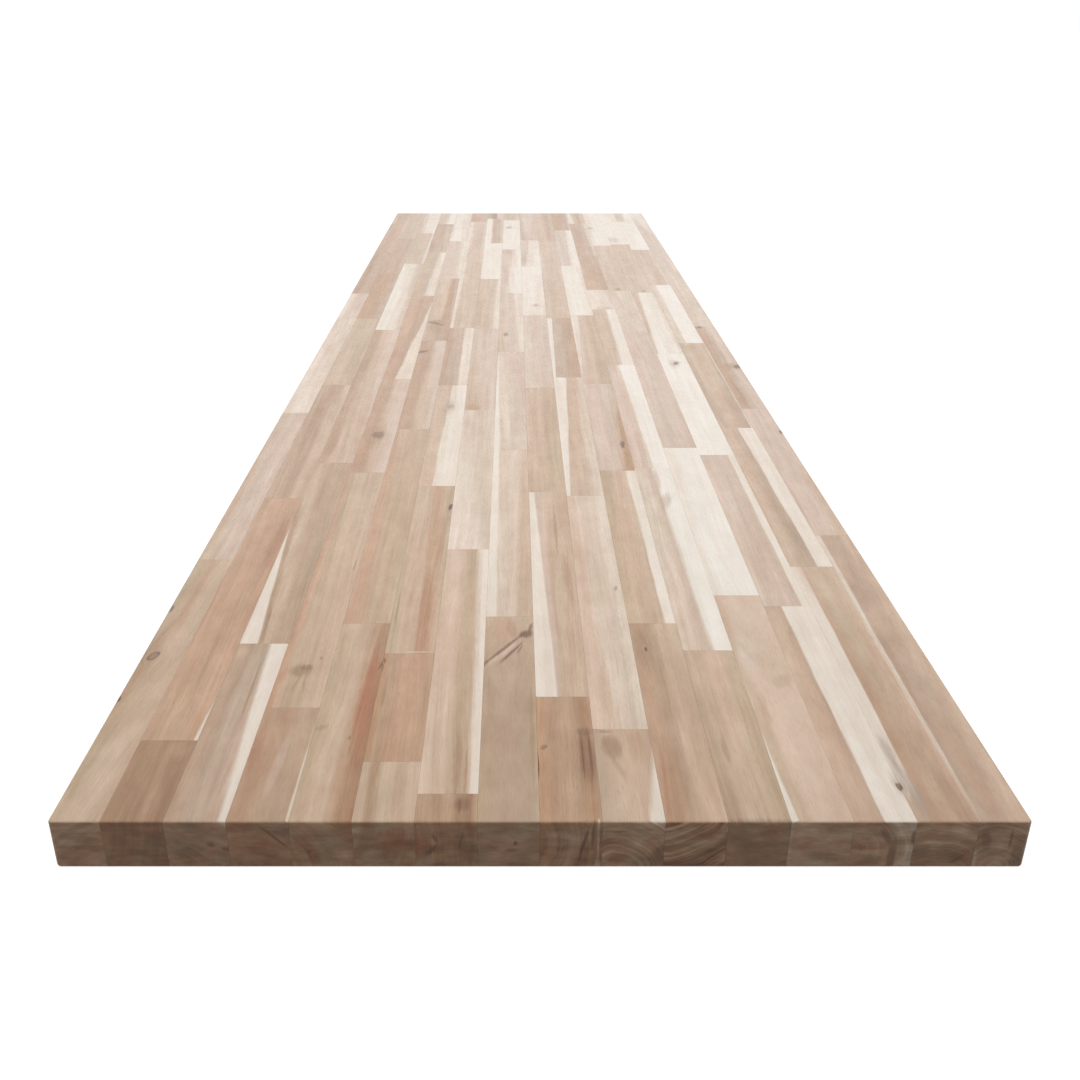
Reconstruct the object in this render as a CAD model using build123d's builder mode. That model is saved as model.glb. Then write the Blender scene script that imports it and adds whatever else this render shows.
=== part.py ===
from build123d import *
import os
from math import ceil

os.makedirs("parts", exist_ok=True)

# Butcher block countertop of edge-glued hardwood staves, lying flat on its underside.
# X runs across the top, Y along it, Z up. The origin is at the middle of the underside.
# All sizes are in millimetres.

# Overall size
top_length = 2438.0
top_width = 635.0
top_thickness = 38.0

# Staves: each row is one stave wide, and the two outer rows are ripped narrower to bring
# the top to its width
stave_width = 40.5
glue_line = 0.1

# Finger joint between the staves of a row: the fingers show on the long edges only,
# and a shoulder above and below them leaves a straight line on both faces
finger_length = 12.0
finger_count = 4
finger_shoulder = 4.0

# Sanded edges
top_edge_radius = 1.5
bottom_edge_radius = 3.0
corner_radius = 3.0

# A stave is not glued in where less than this of it would be left at the far end
shortest_offcut = 60.0

# Stave lengths of each row, from the near end on. The saw trims the last one.
row_stave_lengths = [
    [385, 435, 505, 185, 395, 365, 410],
    [90, 445, 407, 378, 370, 385, 420],
    [227, 413, 605, 540, 355, 430],
    [132, 478, 360, 521, 414, 363, 390],
    [261, 496, 421, 134, 328, 400, 430],
    [65, 146, 359, 370, 318, 538, 506, 400],
    [29, 379, 424, 421, 383, 377, 337, 410],
    [273, 411, 428, 402, 428, 384, 400],
    [147, 405, 377, 415, 412, 294, 450],
    [104, 438, 436, 346, 291, 425, 470],
    [261, 355, 331, 396, 419, 416, 380],
    [216, 408, 418, 344, 154, 330, 403, 395],
    [312, 378, 538, 302, 454, 520],
    [292, 374, 436, 416, 482, 300, 405],
    [370, 392, 402, 418, 354, 368, 400],
    [440, 398, 430, 430, 432, 385],
]

# Worked out from the sizes above
row_count = ceil(top_width / stave_width)
outer_row_width = (top_width - (row_count - 2) * stave_width) / 2
finger_pitch = (top_thickness - 2 * finger_shoulder) / finger_count
near_end = -top_length / 2
left_edge = -top_width / 2


def row_edges(row):
    """Left and right side of a row's space across the top, glue lines included."""
    if row == 0:
        return left_edge, left_edge + outer_row_width
    left = left_edge + outer_row_width + (row - 1) * stave_width
    if row == row_count - 1:
        return left, left + outer_row_width
    return left, left + stave_width


def stave_ends(lengths):
    """Where each stave of a row ends, from the near end on. The last one ends with the top."""
    ends = []
    reach = 0.0
    while reach < top_length - shortest_offcut:
        reach = reach + lengths[len(ends) % len(lengths)]
        ends.append(reach)
    ends[-1] = top_length
    return ends


def sawn_end(y):
    """Side view of a square sawn end, from the underside up."""
    return [(y, 0), (y, top_thickness)]


def finger_end(y):
    """Side view of a finger joint about y: shoulder, zigzag of pointed fingers, shoulder."""
    points = [(y, 0), (y, finger_shoulder)]
    for finger in range(finger_count):
        root = finger_shoulder + finger * finger_pitch
        points.append((y + finger_length / 2, root + finger_pitch / 4))
        points.append((y - finger_length / 2, root + finger_pitch * 3 / 4))
    points.append((y, top_thickness - finger_shoulder))
    points.append((y, top_thickness))
    return points


def stave_outline(start, end):
    """Side view of one stave between two places along the top, each joint half a glue line short."""
    if start == 0:
        near = sawn_end(near_end)
    else:
        near = finger_end(near_end + start + glue_line / 2)
    if end == top_length:
        far = sawn_end(-near_end)
    else:
        far = finger_end(near_end + end - glue_line / 2)
    return near + far[::-1]


# The sanded outline of the whole top, which every row is cut to
with BuildPart() as sanded_top:
    with BuildSketch():
        RectangleRounded(top_width, top_length, corner_radius)
    extrude(amount=top_thickness)
    fillet(sanded_top.faces().sort_by(Axis.Z)[-1].edges(), radius=top_edge_radius)
    fillet(sanded_top.faces().sort_by(Axis.Z)[0].edges(), radius=bottom_edge_radius)

# The rows of staves, numbered from the left
for row in range(row_count):
    left, right = row_edges(row)
    if row > 0:
        left = left + glue_line / 2
    if row < row_count - 1:
        right = right - glue_line / 2
    with BuildPart() as stave_row:
        start = 0.0
        for end in stave_ends(row_stave_lengths[row % len(row_stave_lengths)]):
            with BuildSketch(Plane.YZ.offset(left)):
                with BuildLine():
                    Polyline(*stave_outline(start, end), close=True)
                make_face()
            extrude(amount=right - left)
            start = end
        add(sanded_top.part, mode=Mode.INTERSECT)
    stave_row.part.label = f"row_{row + 1:02d}"
    export_step(stave_row.part, f"parts/{stave_row.part.label}.step")
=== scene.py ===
import math

import bpy
import numpy as np
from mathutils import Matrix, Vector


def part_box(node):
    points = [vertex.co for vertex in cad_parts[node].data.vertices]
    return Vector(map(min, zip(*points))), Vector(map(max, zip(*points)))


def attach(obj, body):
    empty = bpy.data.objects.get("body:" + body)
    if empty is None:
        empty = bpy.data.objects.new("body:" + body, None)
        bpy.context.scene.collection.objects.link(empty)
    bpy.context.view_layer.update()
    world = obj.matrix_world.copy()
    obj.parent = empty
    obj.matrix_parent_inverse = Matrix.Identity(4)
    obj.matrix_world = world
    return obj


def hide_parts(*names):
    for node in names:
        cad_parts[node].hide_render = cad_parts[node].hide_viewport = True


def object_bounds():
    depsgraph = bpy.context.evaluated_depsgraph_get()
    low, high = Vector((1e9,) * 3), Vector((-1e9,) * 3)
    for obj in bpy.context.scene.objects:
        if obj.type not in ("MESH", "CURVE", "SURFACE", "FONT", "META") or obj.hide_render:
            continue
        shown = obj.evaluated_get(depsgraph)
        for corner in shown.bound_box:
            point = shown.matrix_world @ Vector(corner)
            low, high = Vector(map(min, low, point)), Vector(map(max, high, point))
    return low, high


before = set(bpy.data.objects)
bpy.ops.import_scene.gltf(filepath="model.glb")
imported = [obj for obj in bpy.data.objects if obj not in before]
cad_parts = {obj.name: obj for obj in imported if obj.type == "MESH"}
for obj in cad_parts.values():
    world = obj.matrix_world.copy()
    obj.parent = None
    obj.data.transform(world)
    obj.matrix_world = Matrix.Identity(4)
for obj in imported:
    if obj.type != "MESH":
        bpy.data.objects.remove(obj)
cad_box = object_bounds()

# Places are in metres, as in the frame. Sizes of the timber's own detail are in millimetres.
MM = 0.001

# Sanded edges of the countertop, mm, how many points go round each, and from how many degrees
# on an edge is shown as a sharp one
TOP_EDGE_RADIUS = 1.5
BOTTOM_EDGE_RADIUS = 3.0
CORNER_RADIUS = 3.0
ARC_POINTS = 7
SHARP_ANGLE = 35

# Finger joints between the staves of a row, mm
FINGER_REACH = 6.0
FINGER_SHOULDER = 4.0
FINGER_COUNT = 4

# The joints along the top face are looked for further in from its ends than this, mm
CLEAR_OF_ENDS = 5

# The camera stands at the near end, above the middle, and looks down along the countertop.
# Its place is in metres, its tilt in degrees up from straight down, its lens in mm, and its
# shift is a share of the picture's width.
CAMERA_PLACE = (-0.0175, -1.8015, 0.5098)
CAMERA_TILT = 65.0
CAMERA_LENS = 37.7
CAMERA_SHIFT = 0.0252

# One wide lamp hangs overhead: its place and size are in metres and its power in watts. The
# surroundings give less light than they look.
LAMP_PLACE = (0, 0.55, 0.9)
LAMP_WIDE = 2.2
LAMP_LONG = 4.1
LAMP_POWER = 22.7
WORLD_LIGHT = 0.4
WORLD_SEEN = 1.0

# The floor reaches this far each way and lies this far under the countertop, metres. It is grey
# to the light that it throws back, and to the eye it is white with some glow.
FLOOR_REACH = 20.0
FLOOR_DROP = 0.0003
FLOOR_GREY = (0.3, 0.3, 0.3, 1)
FLOOR_GLOW = 1.5
FLOOR_GLOW_SHARE = 0.6

# Colours as light: of a knot's heart, of its rim and of the wood about it, of open pores, and
# what end grain is mixed with and multiplied by
WHITE = (1, 1, 1, 1)
HEART_COLOUR = (0.15, 0.06, 0.02, 1.0)
RIM_COLOUR = (0.11, 0.042, 0.012, 1.0)
HALO_COLOUR = (0.36, 0.25, 0.17, 1.0)
PORE_COLOUR = (0.2, 0.12, 0.07, 1.0)
SOAKED_COLOUR = (0.44, 0.31, 0.21, 1.0)
SOAKED_SHADE = (0.57, 0.49, 0.42)

# Timber tones as a painter would mix them, 0 to 255, and how strongly each one is streaked
TONES = {
    "ivory": ((239, 229, 216), 0.4),
    "cream": ((233, 220, 204), 0.5),
    "pale": ((225, 208, 189), 0.75),
    "light": ((214, 193, 171), 0.9),
    "peach": ((214, 187, 163), 0.75),
    "ash": ((208, 184, 164), 0.8),
    "tan": ((202, 174, 147), 0.9),
    "olive": ((194, 167, 137), 0.9),
    "mauve": ((190, 163, 138), 0.9),
    "rosy": ((196, 158, 127), 0.95),
    "fawn": ((186, 156, 128), 0.95),
    "brown": ((185, 151, 120), 1.0),
    "copper": ((191, 149, 113), 0.95),
    "orange": ((184, 143, 105), 1.0),
    "umber": ((172, 134, 100), 1.1),
    "dark": ((162, 126, 94), 1.2),
    "russet": ((172, 118, 84), 1.0),
    "grey": ((172, 152, 134), 0.8),
    "smoke": ((138, 100, 64), 0.8),
    "ink": ((96, 52, 18), 0.5),
}

# Each row's staves from the near end on. A stave has its tones from left to right, and
# between two tones the place where they meet: mm in from the left side of the row at the
# stave's near end and at its far end, and over how many mm the one passes into the other.
# A stave has room for four tones.
TONES_A_STAVE = 4
STAVES = {
    "row_01": [
        ("olive", (9, 14, 6), "tan"),
        ("tan", (14, 4, 10), "ash"),
        ("pale", (40, -10, 14), "light"),
        ("pale", (10, 12, 3), "ash"),
        ("brown", (5, 4, 3), "umber", (16, 13, 4), "brown"),
        ("brown", (24, 20, 6), "rosy"),
        ("mauve", (9, 7, 4), "brown"),
    ],
    "row_02": [
        ("umber", (7, 6, 4), "dark", (14, 13, 3), "umber", (18, 20, 6), "dark"),
        ("rosy", (38.2, 54, 0.8), "cream"),
        ("fawn", (20, 24, 6), "fawn", (26, 29, 5), "tan"),
        ("tan", (34, -8, 14), "olive"),
        ("orange", (24, 27, 6), "brown", (35, 35, 2), "mauve"),
        ("rosy", (5, 4, 3), "brown", (33, 34, 3), "mauve"),
        ("tan", (10, 4, 4), "olive", (30, 34, 5), "tan"),
    ],
    "row_03": [
        ("fawn", (10, 8, 6), "mauve", (36, 25, 2.2), "cream"),
        ("cream", (15, -12, 1), "brown", (19.5, -6, 2.5), "tan", (26, 10, 8), "fawn"),
        ("brown", (8, 16, 6), "tan", (40, 24, 10), "ash"),
        ("cream", (22, 6, 8), "pale", (33, 26, 5), "ash", (40, 32, 3), "tan"),
        ("olive", (30, 20, 5), "tan", (37, 36, 2), "pale"),
        ("tan", (7, 2, 4), "ash", (15, 11, 4), "pale"),
    ],
    "row_04": [
        ("brown", (14, 26, 2), "fawn", (27, 31, 4), "fawn", (38.2, 40.6, 0.8), "pale"),
        ("rosy", (7, 4, 4), "olive", (16, 8, 6), "tan"),
        ("rosy", (9, 6, 4), "brown", (15, 19, 5), "tan", (26, 24, 3), "ash"),
        ("rosy", (8, 20, 5), "brown", (17.5, 43, 1.5), "pale"),
        ("olive", (16, 20, 6), "mauve", (22, 28, 3), "pale"),
        ("brown", (22, 27, 8), "olive"),
        ("tan", (15, 18, 5), "ash", (23, 27, 4), "cream"),
    ],
    "row_05": [
        ("olive", (8, 8, 4), "tan", (22, 26, 3), "brown", (29, 34, 3), "umber"),
        ("rosy", (18, 2, 10), "olive"),
        ("brown", (18, 21, 5), "tan", (34, 24, 5), "ash"),
        ("mauve", (26, 4, 10), "brown"),
        ("olive", (12, -2, 8), "tan", (24, 26, 3), "orange", (37, 34, 2), "mauve"),
        ("ash", (27, 24, 5), "light", (33, 32, 3), "pale"),
        ("pale", (5, 5, 3), "cream", (27, 14, 8), "pale", (36, 36, 3), "light"),
    ],
    "row_06": [
        ("tan", (6, 5, 3), "brown", (14, 13, 4), "tan"),
        ("orange", (4.5, 4.5, 2), "brown", (14, 14, 5), "rosy"),
        ("olive", (5, 4, 3), "tan", (23, 18, 1.5), "rosy", (37, 31, 3), "olive"),
        ("tan", (15, 20, 1.5), "pale", (20, 28, 4), "cream"),
        ("brown", (3, 16, 8), "mauve", (27, 25, 2.5), "pale"),
        ("pale", (5, 8, 2), "tan", (32, 52, 6), "mauve"),
        ("pale", (5, 8, 2), "ash", (12, 16, 5), "tan", (35, 34, 4), "ash"),
        ("orange", (12, 5, 5), "rosy", (32, 20, 6), "mauve"),
    ],
    "row_07": [
        ("brown", (25, 25, 3), "dark", (38, 38, 2), "brown"),
        ("peach", (18, 19, 5), "olive", (34.5, 30, 2.5), "pale", (37, 35, 1.5), "cream"),
        ("pale", (34, -8, 14), "light"),
        ("tan", (28, -10, 12), "ash"),
        ("olive", (20, 2, 8), "tan", (26, 31, 3), "ash", (30, 36, 2), "pale"),
        ("pale", (6, -4, 5), "cream", (37, 38, 3), "pale"),
        ("cream", (15, 14, 3), "brown", (28, 24, 5), "mauve", (36, 33, 4), "ash"),
        ("brown", (10, 8, 4), "dark", (25, 23, 3), "ash"),
    ],
    "row_08": [
        ("olive", (8, 10, 8), "mauve", (40, 31, 6), "olive"),
        ("cream", (8.5, 7, 1), "light", (24, 34, 6), "tan"),
        ("cream", (8, 0, 2), "light", (44, 10, 12), "ash"),
        ("tan", (12, 1, 5), "ash", (33, 25, 3), "pale"),
        ("ash", (12, 26, 5), "pale", (19, 38, 5), "cream"),
        ("cream",),
        ("olive", (22, 27, 6), "tan"),
    ],
    "row_09": [
        ("copper", (6, 6, 4), "brown", (30, 30, 3), "umber", (38, 39, 2), "brown"),
        ("cream", (17, 6, 1), "ash", (20.5, 14, 2.5), "tan", (26, 21, 3), "tan"),
        ("tan", (20, 19, 8), "olive"),
        ("light", (22, 6, 8), "ash"),
        ("cream", (10, 46, 9), "pale"),
        ("ash", (10, 20, 4), "pale", (22, 42, 5), "cream"),
        ("mauve", (12, 2, 5), "ash", (20, 38, 6), "tan"),
    ],
    "row_10": [
        ("mauve", (12, 6, 6), "tan", (31, 44, 2.5), "cream"),
        ("peach", (16, 8, 6), "light", (44, 26, 8), "pale"),
        ("cream", (4, 18, 1), "tan", (26, 32, 4), "light"),
        ("cream", (4, 8, 1), "mauve", (24, 22, 5), "brown"),
        ("tan", (12, 6, 5), "olive", (22, 28, 5), "tan"),
        ("ash", (8, 2, 5), "tan", (36, 36, 3), "ash"),
        ("tan", (22, 14, 5), "brown", (33, 30, 4), "olive"),
    ],
    "row_11": [
        ("brown", (14, 12, 5), "fawn", (26, 22, 4), "tan"),
        ("olive", (9, 14, 5), "tan", (31.5, 30, 1.2), "cream"),
        ("ash", (23, 38, 4), "tan", (30, 44, 3), "orange"),
        ("pale", (0, 14, 1.5), "ash", (6, 20, 4), "tan", (24, 26, 5), "olive"),
        ("cream", (37, 33, 4), "pale"),
        ("ash", (21, 26, 3), "pale", (27, 29, 3), "cream"),
        ("orange", (13, 28, 6), "brown", (37, 36, 2), "ash"),
    ],
    "row_12": [
        ("fawn", (8, 0, 6), "tan", (30, 34, 8), "olive"),
        ("light", (15, 18, 4), "ash", (25, 19, 2.5), "ivory"),
        ("ash", (18, 13, 3), "light", (22, 17, 2), "ivory"),
        ("olive", (8, 2, 5), "tan", (23, 24, 3), "cream"),
        ("pale", (50, 26, 8), "light"),
        ("rosy", (24, 0, 10), "brown", (52, 33, 5), "olive"),
        ("brown", (20, 28, 5), "mauve", (35, 34, 3), "light"),
        ("pale", (14, 9, 3), "olive", (22, 20, 5), "brown", (31, 30, 4), "tan"),
    ],
    "row_13": [
        ("cream", (5, -9, 1), "tan", (14, 4, 5), "peach"),
        ("cream", (6, 12, 6), "ivory"),
        ("light", (8, -4, 5), "ash"),
        ("ash", (12, -12, 6), "light"),
        ("tan", (-20, 22, 10), "ash", (-10, 28, 8), "tan"),
        ("pale", (4, 18, 6), "cream"),
    ],
    "row_14": [
        ("tan", (14, 12, 4), "mauve", (19.4, 15, 1), "cream"),
        ("light", (6, 2, 3), "ash", (33.5, 33, 1), "cream"),
        ("ivory",),
        ("tan", (2, 12, 2.5), "cream", (35, 36, 3), "pale"),
        ("tan", (24, 42, 8), "ash"),
        ("cream",),
        ("cream", (28, 10, 6), "pale"),
    ],
    "row_15": [
        ("cream", (8.5, 10, 1), "brown", (15, 14, 3), "fawn", (40, 6, 12), "tan"),
        ("tan", (14, 12, 5), "mauve", (26.5, 21, 1.2), "cream"),
        ("mauve", (12, 5, 5), "tan", (22, 44, 6), "mauve", (38.8, 39.2, 0.7), "pale"),
        ("light", (13, 12, 2), "ivory"),
        ("tan", (6, 10, 5), "ash", (14, 14, 4), "tan", (35, 36, 3), "light"),
        ("cream", (12, 40, 10), "ivory"),
        ("ash", (18, 21, 4), "cream"),
    ],
    "row_16": [
        ("pale", (0.3, 5, 1), "mauve", (22, 26, 6), "tan"),
        ("ash", (8, -4, 6), "ash", (22, 40, 6), "tan"),
        ("brown", (9, 13, 5), "mauve", (20, 18, 5), "ash"),
        ("ash", (12, 4, 6), "light"),
        ("ash", (26, 27, 4), "light"),
        ("ash", (34, -18, 14), "pale"),
    ],
}

# Knots: row, mm from the near end, mm in from the left side of the row, half width in mm,
# how much longer than wide, turn in degrees from the grain, darkness of heart and of rim.
# A stave has room for three, and at the underside a knot has lost the taper's share of its width.
KNOTS_A_STAVE = 3
KNOT_TAPER = 0.75
KNOTS = [
    ("row_01", 207, 9.2, 3.7, 1.7, -20, 0.5, 0.65),
    ("row_01", 144, 0.4, 2.1, 2.2, 0, 1.0, 0.9),
    ("row_01", 287, 2, 1.6, 3.2, 0, 0.7, 0.4),
    ("row_04", 204, 30.5, 1.0, 2.0, 0, 0.4, 0.2),
    ("row_04", 736, 19, 7.2, 1.7, 0, 0.62, 0.35),
    ("row_05", 93, 27.2, 1.1, 2.6, 0, 0.5, 0.2),
    ("row_05", 1113, 6, 4.8, 2.0, -50, 0.8, 0.5),
    ("row_05", 1292, 12, 4.6, 2.4, 55, 0.7, 0.5),
    ("row_05", 1280, 22, 4.0, 2.4, 55, 0.6, 0.4),
    ("row_06", 511, 38.4, 1.9, 4.0, -6, 1.0, 0.8),
    ("row_06", 846, 22, 4.2, 2.4, 0, 0.35, 0.1),
    ("row_08", 1216, 12, 4.0, 2.6, 0, 0.5, 0.4),
    ("row_08", 2220, 14, 6.5, 2.2, 0, 0.42, 0.3),
    ("row_09", 82, 5, 2.1, 1.6, -30, 0.5, 0.3),
    ("row_09", 1418, 23, 4.2, 2.0, 0, 0.35, 0.3),
    ("row_10", 326, 35, 1.4, 3.0, -10, 0.45, 0.3),
    ("row_11", 218, 10.2, 1.1, 3.6, 0, 1.0, 0.6),
    ("row_11", 702, 34, 2.6, 4.2, -4, 0.85, 0.5),
    ("row_13", 1548, 18, 3.5, 2.0, 0, 0.45, 0.3),
    ("row_13", 2210, 6, 6.0, 2.0, 0, 0.4, 0.3),
    ("row_14", 36, 39.4, 1.3, 3.0, 6, 0.9, 0.6),
    ("row_14", 1050, 22, 3.6, 2.0, -20, 0.8, 0.4),
    ("row_14", 1530, 25, 3.0, 2.0, 0, 0.45, 0.4),
    ("row_15", 37, 0.2, 1.2, 3.2, 6, 0.9, 0.6),
    ("row_16", 746, 32.5, 2.4, 2.4, 0, 0.9, 0.7),
    ("row_16", 1032, 29, 4.8, 1.8, 0, 0.75, 0.5),
    ("row_16", 1262, 7.5, 3.8, 2.0, 0, 0.65, 0.5),
]

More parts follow.
